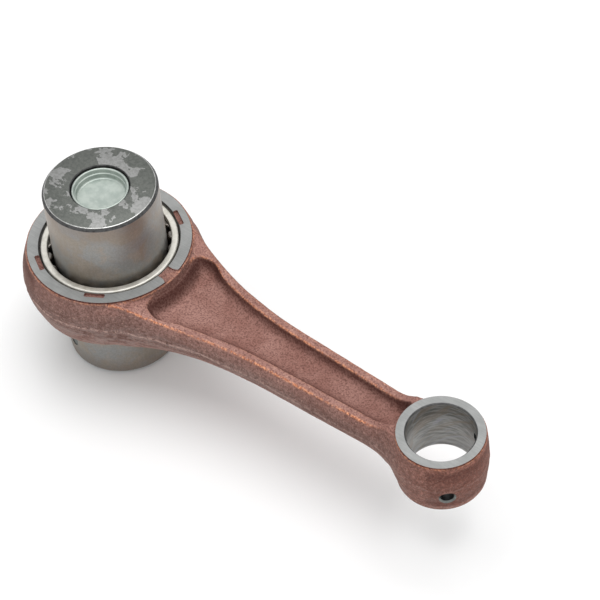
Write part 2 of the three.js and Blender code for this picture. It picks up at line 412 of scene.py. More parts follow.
def forged_copper():
    """Matte copper plating over a shot-blasted forging, browner down the sides, with bright
    copper on the edges, partly rubbed through and partly a painted highlight, painted shade
    on the pocket's walls and a pale line where the flash was trimmed."""
    n = Nodes("forged_copper")
    grain = n.noise(0.56, 3, 0.62)
    speckle = n.noise(1.1, 3, 0.7)
    glint = n.span(n.noise(0.7, 2, 0.55), 0.6, 0.68)
    pink = pink_skin(n, grain, glint)
    brown = brown_skin(n, grain, glint, speckle)
    colour = n.mix(n.times(n.attribute("side"), 0.9), pink, brown)
    # painted shade on the pocket's steep walls and on the step round each ring
    wall = n.times(n.attribute("wall"), n.span(grain, 0.36, 0.6, 1, 0.72))
    colour = n.mix(wall, colour, (0.088, 0.034, 0.028))
    # bright copper on the edges: wear, and a painted highlight
    wear_and_highlight = n.times(n.attribute("edge"), n.span(n.noise(0.8, 4, 0.7), 0.4, 0.56))
    bare = n.mix(n.span(grain, 0.42, 0.6), (0.5, 0.17, 0.085), (0.87, 0.42, 0.235))
    colour = n.mix(wear_and_highlight, colour, bare)
    flash = n.times(n.attribute("flash"), n.span(n.noise(1.2, 4, 0.75), 0.45, 0.53))
    colour = n.mix(flash, colour, (0.52, 0.36, 0.315))
    pit = n.span(n.noise(2.1, 2, 0.4), 0.2, 0.25, 1, 0)
    colour = n.mix(n.times(pit, 0.6), colour, (0.03, 0.014, 0.012))
    n.put(n.shader.inputs["Specular IOR Level"], 0.25)
    n.put(n.shader.inputs["Specular Tint"], (0.7, 0.5, 0.42, 1))
    height = n.math("ADD", n.times(grain, 0.65), n.times(speckle, 0.35))
    roughness = n.span(grain, 0.3, 0.7, 0.48, 0.66)
    return n.finish(colour, roughness, 0.35, n.bump(height, 1.0, 0.55))


def ground_face():
    """Machined side faces: light grey steel with the grinder's fine lay."""
    n = Nodes("ground_face")
    lay = n.noise(0.3, 3, 0.6, n.stretch((0.05, 1, 1), (0, 0, math.radians(28))))
    cloud = n.noise(5, 3, 0.5)
    fine = n.noise(0.5, 3, 0.6)
    colour = n.mix(n.span(cloud, 0.35, 0.65), (0.3, 0.305, 0.3), (0.35, 0.355, 0.35))
    colour = n.mix(n.span(lay, 0.35, 0.65, 0, 0.3), colour, (0.23, 0.235, 0.232))
    colour = n.mix(n.span(fine, 0.4, 0.6, 0, 0.1), colour, (0.2, 0.205, 0.2))
    roughness = n.span(lay, 0.3, 0.7, 0.52, 0.6)
    return n.finish(colour, roughness, 0.5, n.bump(lay, 0.2, 0.02))


def ground_bore(centre_x_mm, radius_mm, lay):
    """A honed bore with faint tan and purple tints. lay is how much the streaks change along
    the circumference and along the bore."""
    n = Nodes("ground_bore")
    around = n.times(n.polar(centre_x_mm), radius_mm * MM)
    z = n.separate()[2]
    spread = n.combine(n.times(around, lay[0]), n.times(z, lay[1]), 0)
    streak = n.noise(0.7, 4, 0.65, spread)
    slanted = n.math("ADD", n.times(around, 0.55), n.times(z, 0.8))
    swirl = n.noise(2.0, 5, 0.62, n.combine(slanted, n.times(around, 0.12), 0), 1.2)
    colour = n.mix(n.span(streak, 0.36, 0.64), (0.15, 0.148, 0.139), (0.335, 0.331, 0.316))
    colour = n.mix(n.span(swirl, 0.5, 0.64, 0, 0.65), colour, (0.225, 0.178, 0.136))
    colour = n.mix(n.span(swirl, 0.46, 0.32, 0, 0.6), colour, (0.31, 0.31, 0.345))
    roughness = n.span(streak, 0.3, 0.7, 0.28, 0.4)
    return n.finish(colour, roughness, 0.5, n.bump(streak, 0.3, 0.02))


# one turned steel in a darker copy that is painted shade and a lighter copy that is painted light
SHADED_CHAMFER_GREYS = (0.05, 0.09)
LIT_CHAMFER_GREYS = (0.13, 0.2)


def turned_chamfer(name, darkest, lightest):
    """Turned chamfers of bores and of the pin, between two greys; the darker and lighter copies of
    one steel are painted shade and painted light.
    """
    n = Nodes(name)
    cloud = n.noise(1.2, 3, 0.5)
    colour = n.mix(n.span(cloud, 0.35, 0.65), (darkest,) * 3, (lightest,) * 3)
    return n.finish(colour, n.span(cloud, 0.3, 0.7, 0.35, 0.5), 0.7)


def hole_wall():
    """Drilled oil holes: black inside."""
    n = Nodes("hole_wall")
    cloud = n.noise(1.2, 3, 0.5)
    colour = n.mix(n.span(cloud, 0.35, 0.65), (0.018, 0.018, 0.019), (0.035, 0.035, 0.036))
    return n.finish(colour, n.span(cloud, 0.3, 0.7, 0.45, 0.6), 0.4)


def hole_lip():
    """Countersinks of the oil holes: plain grey-green steel."""
    n = Nodes("hole_lip")
    cloud = n.noise(1.2, 3, 0.5)
    colour = n.mix(n.span(cloud, 0.35, 0.65), (0.13, 0.14, 0.133), (0.2, 0.21, 0.2))
    return n.finish(colour, n.span(cloud, 0.3, 0.7, 0.3, 0.42), 0.8)


def plated_cage():
    """Thin warm silver plating, satin, with a fine dull grain."""
    n = Nodes("plated_cage")
    cloud = n.noise(2.2, 4, 0.6)
    grain = n.noise(0.3, 3, 0.6)
    colour = n.mix(n.span(cloud, 0.35, 0.65), (0.62, 0.6, 0.54), (0.74, 0.72, 0.665))
    colour = n.mix(n.span(grain, 0.55, 0.7, 0, 0.3), colour, (0.36, 0.34, 0.3))
    roughness = n.span(cloud, 0.3, 0.7, 0.36, 0.46)
    return n.finish(colour, roughness, 0.75, n.bump(grain, 0.25, 0.03))


def roller_side():
    """Ground needle rollers: dark warm grey, satin, with faint rings round them."""
    n = Nodes("roller_side")
    z = n.separate()[2]
    rings = n.noise(0.35, 3, 0.6, n.combine(0, 0, z))
    cloud = n.noise(4, 3, 0.5)
    colour = n.mix(n.span(cloud, 0.35, 0.65), (0.15, 0.137, 0.122), (0.21, 0.195, 0.18))
    roughness = n.span(rings, 0.3, 0.7, 0.26, 0.34)
    return n.finish(colour, roughness, 0.9, n.bump(rings, 0.08, 0.01))


def roller_end():
    """The rollers' rounded ends: polished dark steel."""
    n = Nodes("roller_end")
    cloud = n.noise(1, 2, 0.5)
    colour = n.mix(n.span(cloud, 0.35, 0.65), (0.16, 0.145, 0.13), (0.24, 0.225, 0.21))
    return n.finish(colour, n.span(cloud, 0.3, 0.7, 0.12, 0.18), 1.0)


def pin_side():
    """The crank pin's ground side: blue-grey steel mottled tan by heat, brown near its ends."""
    n = Nodes("pin_side")
    around = n.times(n.polar(), PIN_R * MM)
    z = n.separate()[2]
    lay = n.noise(0.3, 3, 0.6, n.combine(n.times(around, 0.04), 0, z))
    cloud = n.noise(13, 5, 0.62, distortion=0.6)
    patch = n.noise(5, 5, 0.65)
    fine = n.noise(0.6, 3, 0.7)
    down = n.noise(0.8, 4, 0.65, n.combine(around, 0, n.times(z, 0.12)))
    colour = n.mix(n.span(cloud, 0.42, 0.58), (0.3, 0.3, 0.29), (0.312, 0.27, 0.224))
    colour = n.mix(n.span(patch, 0.5, 0.68, 0, 0.6), colour, (0.39, 0.325, 0.266))
    colour = n.mix(n.span(patch, 0.45, 0.3, 0, 0.5), colour, (0.265, 0.278, 0.3))
    colour = n.mix(n.span(down, 0.42, 0.62, 0, 0.16), colour, (0.36, 0.355, 0.345))
    band = n.span(n.math("ABSOLUTE", z), PIN_BROWN_START * MM, PIN_BROWN_FULL * MM)
    colour = n.mix(n.times(band, 0.5), colour, (0.25, 0.2, 0.165))
    colour = n.mix(n.span(fine, 0.4, 0.6, 0.16, 0), colour, (0.1, 0.09, 0.08))
    colour = n.mix(n.span(lay, 0.4, 0.6, 0, 0.06), colour, (0.14, 0.13, 0.125))
    pit = n.span(n.noise(2.6, 1, 0.3), 0.17, 0.2, 1, 0)
    colour = n.mix(n.times(pit, 0.7), colour, (0.03, 0.026, 0.024))
    roughness = n.span(patch, 0.3, 0.7, 0.38, 0.48)
    return n.finish(colour, roughness, 0.7, n.bump(fine, 0.12, 0.02))


def pin_end():
    """The pin's end faces: dark grey hardening scale with lighter bare patches."""
    n = Nodes("pin_end")
    shape = n.noise(6.5, 5, 0.56, distortion=0.3)
    fine = n.noise(0.7, 3, 0.6)
    ragged = n.math("ADD", shape, n.span(fine, 0.3, 0.7, -0.012, 0.012))
    bare = n.span(ragged, 0.528, 0.542)
    dark = n.mix(n.span(fine, 0.35, 0.65), (0.1, 0.107, 0.098), (0.14, 0.147, 0.135))
    light = n.mix(n.span(fine, 0.35, 0.6), (0.23, 0.232, 0.225), (0.3, 0.302, 0.296))
    colour = n.mix(bare, dark, light)
    roughness = n.span(fine, 0.3, 0.7, 0.45, 0.55)
    height = n.math("ADD", n.times(bare, 0.4), n.times(fine, 0.3))
    return n.finish(colour, roughness, 0.6, n.bump(height, 0.3, 0.03))


def bright_edge():
    """The polished line round the pin's ends."""
    n = Nodes("bright_edge")
    cloud = n.noise(2, 3, 0.6)
    colour = n.mix(n.span(cloud, 0.35, 0.65), (0.42, 0.42, 0.41), (0.62, 0.62, 0.61))
    return n.finish(colour, n.span(cloud, 0.3, 0.7, 0.2, 0.32), 0.9)


def zinc_cup():
    """Zinc plating: pale grey with a green cast, drawing marks round the wall."""
    n = Nodes("zinc_cup")
    cloud = n.noise(3, 4, 0.6)
    z = n.separate()[2]
    rings = n.noise(0.4, 3, 0.6, n.combine(0, 0, z))
    colour = n.mix(n.span(cloud, 0.35, 0.65), (0.38, 0.435, 0.4), (0.48, 0.53, 0.49))
    roughness = n.span(cloud, 0.3, 0.7, 0.34, 0.44)
    return n.finish(colour, roughness, 0.6, n.bump(rings, 0.1, 0.02))


def paper_floor():
    """Seamless white studio paper."""
    n = Nodes("paper_floor")
    return n.finish((0.9, 0.9, 0.9, 1), 0.8, 0.0)


# ---------- connecting rod ----------
# The forging's shape is a field, negative inside, whose outline and heights follow the CAD rod.

NECK_X = 107
NECK_HALF_WIDTH = 7.26
TAPER = 0.034
BIG_SWEEP_X = 68
BIG_SWEEP_R = 140
SMALL_SWEEP_R = 24.5
FLANGE_HALF_HEIGHT = 5.3
BIG_RISE_X = 45
BIG_RISE_R = 80
SMALL_RISE_X = 103
SMALL_RISE_R = 12
TOP_BELOW_FACE = 0.6
TOP_BELOW_SMALL_FACE = 1.7
SIDE_BULGE = 2
RIM = 2.4  # width of each flange top
RIM_WAIST = 1.1  # how much narrower it is beside the pocket's big corner
RIM_WAIST_X = 30.8
RIM_WAIST_LENGTH = 3.2
POCKET_WALL_RUN = 1.1
WEB_HALF_THICKNESS = 2.4
END_BLEND = 2.8  # how softly the shank runs into the two ends
BIG_BLEND_LESS = 2.4  # how much tighter that blend is at the machined faces
SMALL_BLEND_LESS = 2.0
TIGHTER_FROM_Z = 6.5
TIGHTEST_BELOW_FACE = 1
SHANK_START = 16
SHANK_END = 118.5
SHANK_END_ROUND = 1
BLANK_HALF_WIDTH = HALF_WIDTH + 0.8  # before the side faces are machined
EDGE_ROUND = 0.3
POCKET_END_GAP = 0.5
POCKET_BIG_CORNER = 9.5
POCKET_SMALL_CORNER = 2.5
POCKET_FLOOR_FILLET = 3.2
FILLET_OVER_RISE = 0.3  # the most that a fillet may outgrow its wall
PAST_WEB = 1.2  # the walls go on leaning to this share of their height
BIG_WALL_REACH = 8  # the pocket's wall leans and its fillet grows this near to the big ring
BIG_WALL_LEAN = 1.8
BIG_WALL_FILLET = 3
NET_STEP = 0.4
NET_MARGIN = 1.2


def smooth_max(a, b, reach):
    """The larger of a and b, rounded off where they are within reach of each other."""
    share = np.clip(0.5 + 0.5 * (a - b) / reach, 0, 1)
    return b + (a - b) * share + reach * share * (1 - share)


def smooth_min(a, b, reach):
    """The smaller of a and b, rounded off in the same way."""
    return -smooth_max(-a, -b, reach)


def sweep(distance, radius):
    """A parabola that starts at distance 0 with the given radius."""
    return np.maximum(0, distance) ** 2 / (2 * radius)


def shank_half_width(x):
    straight = NECK_HALF_WIDTH + TAPER * (NECK_X - x)
    return straight + sweep(BIG_SWEEP_X - x, BIG_SWEEP_R) + sweep(x - NECK_X, SMALL_SWEEP_R)


def flange_half_height(x):
    rise = sweep(BIG_RISE_X - x, BIG_RISE_R) + sweep(x - SMALL_RISE_X, SMALL_RISE_R)
    step = np.where(x < BIG_SWEEP_X, TOP_BELOW_FACE, TOP_BELOW_SMALL_FACE)
    return np.minimum(FLANGE_HALF_HEIGHT + rise, HALF_WIDTH - step)


def drum(x, y, z, shoulder_r, mid_r):
    """Distance to the round side of one end, which swells to the parting line."""
    swell = np.cos(np.pi / 2 * np.clip(np.abs(z) / SHOULDER, 0, 1))
    return np.hypot(x, y) - shoulder_r - (mid_r - shoulder_r) * swell


def shank_side_and_top(x, y, z):
    """Distances to the shank's outer side and to its flange tops."""
    width = shank_half_width(x)
    rise = flange_half_height(x)
    slope = shank_half_width(x + 0.5) - shank_half_width(x - 0.5)
    bulge = SIDE_BULGE * (1 - np.clip(np.abs(z) / rise, 0, 1) ** 2)
    side = (np.abs(y) - width - bulge) / np.sqrt(1 + slope**2)
    return side, np.abs(z) - rise


def pocket_outline(x, y):
    """Below 0 inside the pocket's mouth, seen along Z."""
    rim = RIM - RIM_WAIST * np.exp(-(((x - RIM_WAIST_X) / RIM_WAIST_LENGTH) ** 2))
    wall = np.abs(y) - shank_half_width(x) + rim
    big_end = BIG_FACE_R + POCKET_END_GAP - np.hypot(x, y)
    small_end = SMALL_FACE_R + POCKET_END_GAP - np.hypot(x - CENTRES, y)
    share = np.clip((x - SHANK_START) / (SHANK_END - SHANK_START), 0, 1)
    corner = POCKET_BIG_CORNER + (POCKET_SMALL_CORNER - POCKET_BIG_CORNER) * share
    return smooth_max(wall, np.maximum(big_end, small_end), corner)


def pocket_distance(x, y):
    """The outline's value turned into millimetres by its own slope."""
    reach = 0.05
    flattest, steepest = 0.3, 1.2
    value = pocket_outline(x, y)
    across = (pocket_outline(x + reach, y) - pocket_outline(x - reach, y)) / (2 * reach)
    up = (pocket_outline(x, y + reach) - pocket_outline(x, y - reach)) / (2 * reach)
    return value / np.clip(np.hypot(across, up), flattest, steepest)


def forging(x, y, z):
    """The whole field: the shank with its two pockets, blended into the two ends."""
    big = drum(x, y, z, BIG_SHOULDER_R, BIG_MID_R)
    small = drum(x - CENTRES, y, z, SMALL_SHOULDER_R, SMALL_MID_R)
    side, top = shank_side_and_top(x, y, z)
    rise = flange_half_height(x)
    depth = np.clip(-top / (rise - WEB_HALF_THICKNESS), 0, PAST_WEB)
    near_big = np.clip(1 - (np.hypot(x, y) - BIG_FACE_R) / BIG_WALL_REACH, 0, 1)
    plan = pocket_distance(x, y) + (POCKET_WALL_RUN + BIG_WALL_LEAN * near_big) * depth
    fillet = POCKET_FLOOR_FILLET + BIG_WALL_FILLET * near_big
    fillet = np.minimum(fillet, rise - WEB_HALF_THICKNESS + FILLET_OVER_RISE)
    pocket = smooth_max(plan, WEB_HALF_THICKNESS - np.abs(z), fillet)
    shank = smooth_max(side, top, EDGE_ROUND)
    shank = smooth_max(shank, np.maximum(SHANK_START - x, x - SHANK_END), SHANK_END_ROUND)
    shank = smooth_max(shank, -pocket, EDGE_ROUND)
    tightening = HALF_WIDTH - TIGHTEST_BELOW_FACE - TIGHTER_FROM_Z
    near_face = np.clip((np.abs(z) - TIGHTER_FROM_Z) / tightening, 0, 1)
    body = smooth_min(shank, big, END_BLEND - BIG_BLEND_LESS * near_face)
    body = smooth_min(body, small, END_BLEND - SMALL_BLEND_LESS * near_face)
    return np.maximum(body, np.abs(z) - BLANK_HALF_WIDTH)


FLASH_HEIGHT = 0.16
FLASH_HALF_WIDTH = 0.4
FLASH_WANDER = 0.35
WAVE_HEIGHT = 0.035
RIPPLE_HEIGHT = 0.018
SKIN_INWARDS = 0.08  # keeps the uneven skin about as large as the CAD rod
WANDER_LUMPS = (9.0, 7)  # size and seed of each kind of unevenness
RAGGED_LUMPS = (3.0, 11)
WAVE_LUMPS = (7.0, 3)
RIPPLE_LUMPS = (1.6, 5)


def parting_wander(x, y):
    """How far the parting line strays from the mid-plane."""
    return FLASH_WANDER * lumps(np.stack([x, y, 0 * x], 1), *WANDER_LUMPS)


def rod_blank(material):
    """The forging before machining, with its surface unevenness and the ragged flash line."""
    margin = NET_MARGIN
    low = (-BIG_MID_R - margin, -BIG_MID_R - margin, -BLANK_HALF_WIDTH - margin)
    high = (CENTRES + SMALL_MID_R + margin, BIG_MID_R + margin, BLANK_HALF_WIDTH + margin)
    points, quads = surface_net(forging, low, high, NET_STEP)
    for _ in range(2):
        normals = gradient(forging, points)
        points = points - normals * forging(*points.T)[:, None]
    normals = gradient(forging, points)
    upright = np.clip(1.6 - 2 * np.abs(normals[:, 2]), 0, 1)
    ragged = np.clip(0.5 + 0.6 * lumps(points, *RAGGED_LUMPS), 0, 1)
    height = (points[:, 2] - parting_wander(*points[:, :2].T)) / FLASH_HALF_WIDTH
    flash = FLASH_HEIGHT * np.exp(-(height**2)) * ragged * upright
    waves, ripples = lumps(points, *WAVE_LUMPS), lumps(points, *RIPPLE_LUMPS)
    uneven = WAVE_HEIGHT * waves + RIPPLE_HEIGHT * ripples
    points = points + normals * (flash + uneven - SKIN_INWARDS)[:, None]
    return make_object("connecting_rod_body", points, quads.tolist(), [material])


BORE_CHAMFER_LEAN = 1.2  # the chamfer's depth for each millimetre of its width


def bore_cutter(radius, centre_x, materials):
    """Cuts a bore with a chamfer at each side face; materials are the bore's and the chamfer's."""
    top = HALF_WIDTH + CUT_PAST
    flare = radius + BORE_CHAMFER
    edge = HALF_WIDTH - BORE_CHAMFER * BORE_CHAMFER_LEAN
    wide = flare + 0.6 * BORE_CHAMFER  # the cone goes on a little way past the face
    over = HALF_WIDTH + 0.5 * BORE_CHAMFER
    profile = [
        (0, -top), (wide, -top), (wide, -over), (flare, -HALF_WIDTH), (radius, -edge),
        (radius, edge), (flare, HALF_WIDTH), (wide, over), (wide, top), (0, top),
    ]
    slots = [1, 1, 1, 1, 0, 1, 1, 1, 1]
    return shift_mesh(revolve("cutter", profile, BORE_SEGMENTS, materials, slots), x=centre_x)


SLOT_R = 22.45
SLOT_LENGTH = 6.3
SLOT_WIDTH = 1.5
SLOT_DEPTH = 0.8
SLOT_CORNER_R = 0.45
SLOT_ANGLES = (60, 120, 180, 240, 300)
CHANNEL_WIDTH = 4.8
CHANNEL_DEPTH = 0.6
CHANNEL_FLARE = 2.2  # radius of the ring ends' outer corners
CHANNEL_FLARE_STRETCH = 1.15
CHANNEL_FLARE_TURN = 80  # degrees
CHANNEL_FLARE_STEPS = 8
CHANNEL_SPREAD = 1.2  # how much wider the channel's outer end is than the flare
CHANNEL_PAST = 3  # how far the channel runs on outside the ring


def slot_cutter(angle, side, material):
    """A short round-cornered oil slot in one big-end face."""
    half_length, half_width = SLOT_LENGTH / 2, SLOT_WIDTH / 2
    corners = [(half_width, -half_length), (half_width, half_length)]
    corners += [(-x, -y) for x, y in corners]
    outline = rounded(corners, [SLOT_CORNER_R] * 4)
    face = side * HALF_WIDTH
    made = prism("cutter", outline, face - SLOT_DEPTH, face + SLOT_DEPTH, [material])
    return turn_mesh(shift_mesh(made, x=SLOT_R), "Z", angle)


def channel_cutter(side, material):
    """The open channel through the face on the shank side, flaring where it leaves the ring."""
    half = CHANNEL_WIDTH / 2
    inner, outer = BIG_BORE_R - CUT_PAST, BIG_FACE_R + CHANNEL_PAST
    flare_x = BIG_FACE_R - CHANNEL_FLARE
    upper = [(inner, half), (flare_x, half)]
    for step in range(1, CHANNEL_FLARE_STEPS + 1):
        angle = math.radians(CHANNEL_FLARE_TURN) * step / CHANNEL_FLARE_STEPS
        run = CHANNEL_FLARE * CHANNEL_FLARE_STRETCH * math.sin(angle)
        upper.append((flare_x + run, half + CHANNEL_FLARE * (1 - math.cos(angle))))
    upper.append((outer, upper[-1][1] + CHANNEL_SPREAD))
    outline = [(x, -y) for x, y in upper] + upper[::-1]
    face = side * HALF_WIDTH
    return prism("cutter", outline, face - CHANNEL_DEPTH, face + CUT_PAST, [material])


DRILL_PAST = 3  # how far a drill runs on into the bore
OIL_HOLE_R = 2
OIL_HOLE_FLARE_R = 2.6
OIL_HOLE_ANGLE = 46.5
OIL_HOLE_Z = 3.5
FLARE_SINK = 0.35  # the countersink's full width reaches this far below the round surface


def radial_drill(hole_r, flare_r, surface_r, inner_r, angle, z, materials):
    """Cuts a hole in from a round surface, with a countersink; materials are hole and flare."""
    depth = flare_r - hole_r
    profile = [
        (0, inner_r), (hole_r, inner_r), (hole_r, surface_r - depth - FLARE_SINK),
        (flare_r, surface_r - FLARE_SINK), (flare_r, surface_r + CUT_PAST),
        (0, surface_r + CUT_PAST),
    ]
    made = revolve("cutter", profile, SMALL_ROUND_SEGMENTS, materials, [0, 0, 1, 1, 1])
    turn_mesh(made, "Y", 90)
    return turn_mesh(shift_mesh(made, z=z), "Z", angle)


LEDGE_REACH = 5  # how wide the lowered skin is round each ring


def ledge_cutter(face_r, centre_x, side, material):
    """Drops the skin outside a machined ring, so that the ring stands proud."""
    outer_r, top = face_r + LEDGE_REACH, HALF_WIDTH + CUT_PAST
    profile = [(face_r, SHOULDER), (outer_r, SHOULDER), (outer_r, top), (face_r, top)]
    made = revolve("cutter", profile, BORE_SEGMENTS, [material], closed=True)
    if side < 0:
        turn_mesh(made, "X", 180)
    return shift_mesh(made, x=centre_x)


def side_face_cutter(side, material):
    """Everything above one machined face."""
    past = 2 * CUT_PAST
    reach, far = BIG_MID_R + past, CENTRES + SMALL_MID_R + past
    outline = [(-reach, -reach), (far, -reach), (far, reach), (-reach, reach)]
    low, high = sorted((side * HALF_WIDTH, side * (HALF_WIDTH + past)))
    return prism("cutter", outline, low, high, [material])


# Marks on the forging's skin, each 0 to 1 at every point, which forged_copper reads. The bright
# edges are wear and a painted highlight, and the highlight is painted weaker below the parting
# line, on the +Y flange's outer edge and on the -Y side's pocket rim.
FLANGE_WEAR_AND_HIGHLIGHT_START = 17  # along the rod
RIM_WEAR_AND_HIGHLIGHT_START = 20
FLANGE_WEAR_AND_HIGHLIGHT_GAP = 14  # the wear and painted highlight have faded this far before the small end's axis
RIM_WEAR_AND_HIGHLIGHT_GAP = 16
WEAR_AND_HIGHLIGHT_FADE = 8
FLANGE_PAINTED_HIGHLIGHT_BEHIND = 0.35  # on the +Y side
RIM_PAINTED_HIGHLIGHT_FRONT = 0.25  # on the -Y side
RING_WEAR_AND_HIGHLIGHT = 0.5
PAINTED_HIGHLIGHT_BELOW = 0.3  # under the parting line
FLANGE_GLOW = (0.22, 0.3)  # how far from its edge the wear and painted highlight are full, and how far they then fade
RING_GLOW = (0.15, 0.25)
RIM_GLOW = (0, 0.42)
TOP_FADE = 0.6  # how far below a flange top its painted highlight mark fades out and the pocket's painted shade is full
WALL_SHADE_OUTSIDE = 0.7  # how far the pocket's painted shade reaches outside its mouth
RING_SHADE = 0.7
RING_SHADE_MIDDLE = 0.3  # outside the big ring's shoulder
RING_SHADE_HALF_WIDTH = 0.9
RING_SHADE_BELOW = 0.2  # under the shoulder
RING_SHADE_FADE = 0.4
STEP_SHADE = 0.9
STEP_REACH = 0.1
FLASH_MARK_HALF_WIDTH = 0.36


def edge_glow(distance, flat, reach):
    """1 up to flat from an edge, then fading away over about reach."""
    return np.exp(-((np.clip(distance - flat, 0, None) / reach) ** 2))


def wear_and_highlight_along(x, start, gap):
    """1 along the shank from start, fading away before the small end."""
    return (x > start) * np.clip((CENTRES - gap - x) / WEAR_AND_HIGHLIGHT_FADE, 0, 1)


def beyond_rings(x, y, big_r, small_r):
    """Distances outwards from a circle round each bore's axis."""
    return np.hypot(x, y) - big_r, np.hypot(x - CENTRES, y) - small_r


def wear_and_highlight_edges(x, y, z, side, top):
    """The flanges' outer edges, the pocket's rim and the shoulders, where bare copper shows as wear
    and as a painted highlight.
    """
    flange = edge_glow(np.abs(side) + np.abs(top), *FLANGE_GLOW)
    along = wear_and_highlight_along(x, FLANGE_WEAR_AND_HIGHLIGHT_START, FLANGE_WEAR_AND_HIGHLIGHT_GAP)
    # the painted highlight is weaker on the +Y flange's outer edge
    flange *= along * np.where(y > 0, FLANGE_PAINTED_HIGHLIGHT_BEHIND, 1)
    big, small = beyond_rings(x, y, BIG_SHOULDER_R, SMALL_SHOULDER_R)
    corner = np.minimum(np.abs(big), np.abs(small)) + np.abs(SHOULDER - np.abs(z))
    ring = RING_WEAR_AND_HIGHLIGHT * edge_glow(corner, *RING_GLOW)
    rim = edge_glow(np.abs(pocket_distance(x, y)) + np.abs(top), *RIM_GLOW)
    rim *= wear_and_highlight_along(x, RIM_WEAR_AND_HIGHLIGHT_START, RIM_WEAR_AND_HIGHLIGHT_GAP) * np.where(y > 0, 1, RIM_PAINTED_HIGHLIGHT_FRONT)
    wear_and_highlight = np.maximum(np.maximum(flange, ring), rim)
    # the painted highlight is weaker below the parting line
    return wear_and_highlight * np.where(z < 0, PAINTED_HIGHLIGHT_BELOW, 1)


def shaded_walls(x, y, z, top, up):
    """The pocket's steep walls and the step round each machined ring, where shade is painted dark
    on the skin.
    """
    outside_ring = np.hypot(x, y) - BIG_SHOULDER_R
    beside = RING_SHADE * (np.abs(outside_ring - RING_SHADE_MIDDLE) < RING_SHADE_HALF_WIDTH)
    below = (SHOULDER - RING_SHADE_BELOW - np.abs(z)) / RING_SHADE_FADE
    under_ring = beside * np.clip(below, 0, 1)
    inside = np.clip(WALL_SHADE_OUTSIDE - pocket_distance(x, y), 0, 1)
    inside = inside * np.maximum(np.clip(-top / TOP_FADE, 0, 1), under_ring)
    inside *= np.clip(1.5 + top / 4, 0.45, 1)
    steep = np.clip(2.2 * (1 - np.abs(up)), 0, 1)
    big, small = beyond_rings(x, y, BIG_FACE_R, SMALL_FACE_R)
    # the step round each machined ring gets a painted shadow line
    at_step = np.minimum(np.abs(big), np.abs(small)) < STEP_REACH
    step = STEP_SHADE * (at_step & (np.abs(z) > SHOULDER - STEP_REACH))
    return np.maximum(inside * steep, step)


def flash_line(x, y, z, up):
    """The parting line on the upright skin, fainter towards the small end."""
    height = (z - parting_wander(x, y)) / FLASH_MARK_HALF_WIDTH
    line = np.exp(-(height**2)) * (np.abs(up) < 0.6)
    return line * np.clip(1.15 - x / CENTRES, 0.25, 1)


def mark_forged_surface(piece):
    """Stores the edges' wear and painted highlight, the walls' painted shade, the flange tops'
    painted highlight, the upright sides, the painted grey sheen underneath and the flash.
    """
    count = len(piece.data.vertices)
    points = np.zeros(count * 3)
    normals = np.zeros(count * 3)
    piece.data.vertices.foreach_get("co", points)
    piece.data.vertices.foreach_get("normal", normals)
    x, y, z = points.reshape(-1, 3).T / MM
    up = normals.reshape(-1, 3)[:, 2]
    side, top = shank_side_and_top(x, y, z)
    # lower carries the painted grey sheen, strongest low on the sides and at the big end
    lower = np.clip(0.4 - z / HALF_WIDTH * 0.9, 0, 1)
    marks = {
        "edge": wear_and_highlight_edges(x, y, z, side, top),
        "wall": shaded_walls(x, y, z, top, up),
        # the flange tops, where the material paints a highlight
        "top": np.clip(1 + top / TOP_FADE, 0, 1) * np.clip(np.abs(up) * 3 - 2, 0, 1),
        "side": np.clip(1.25 - 1.6 * np.abs(up), 0, 1),
        "under": lower * np.clip(1.3 - x / CENTRES, 0.4, 1),
        "flash": flash_line(x, y, z, up),
    }
    for name, values in marks.items():
        stored = piece.data.attributes.new(name, "FLOAT", "POINT")
        stored.data.foreach_set("value", values.astype(np.float32))


def connecting_rod():
    """The blank, machined: side faces, bores, ledges, slots, channels and oil holes cut out."""
    copper = forged_copper()
    dark = turned_chamfer("shaded_chamfer", *SHADED_CHAMFER_GREYS)
    light = turned_chamfer("lit_chamfer", *LIT_CHAMFER_GREYS)
    black, lip = hole_wall(), hole_lip()
    rod = rod_blank(copper)
    face = ground_face()
    cutters = [side_face_cutter(side, face) for side in (1, -1)]
    big_bore = ground_bore(0, BIG_BORE_R, (1, 0.1))
    small_bore = ground_bore(CENTRES, SMALL_BORE_R, (0.12, 0.8))
    cutters.append(bore_cutter(BIG_BORE_R, 0, [big_bore, dark]))
    cutters.append(bore_cutter(SMALL_BORE_R, CENTRES, [small_bore, light]))
    for side in (1, -1):
        cutters.append(ledge_cutter(BIG_FACE_R, 0, side, copper))
        cutters.append(ledge_cutter(SMALL_FACE_R, CENTRES, side, copper))
        cutters += [slot_cutter(angle, side, copper) for angle in SLOT_ANGLES]
        cutters.append(channel_cutter(side, copper))
        hole = radial_drill(
            OIL_HOLE_R, OIL_HOLE_FLARE_R, SMALL_MID_R, SMALL_BORE_R - DRILL_PAST,
            side * OIL_HOLE_ANGLE, side * OIL_HOLE_Z, [black, lip],
        )
        cutters.append(shift_mesh(hole, x=CENTRES))
    cut(rod, cutters)
    mark_forged_surface(rod)
    shade(rod, 40)
    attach(rod, "connecting_rod")
    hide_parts("connecting_rod")


# ---------- needle bearing ----------
CAGE_INNER_R = 19.05
CAGE_RECESS_R = 20.1  # inside of the bars, at mid-height
CAGE_RECESS_HALF = 3.2
CAGE_RECESS_END = 6.2
WINDOW_HALF_LENGTH = 7.9
WINDOW_INNER_HALF = 2.15
WINDOW_OUTER_HALF = 1.93
WINDOW_NECK_R = 20.2  # the window narrows outwards from here, to hold its roller
NIB_Z = 5.3
NIB_HALF_LENGTH = 0.8
NIB_STEP = 0.22
NIB_SEED_STEP = 1.7  # makes each window's nibs a little different
NIB_RAMP_IN = 0.3
NIB_RAMP_OUT = 0.25
CAGE_INNER_ROUND = 0.35
CAGE_OUTER_ROUND = 0.6
WINDOW_CORNER_R = 0.35


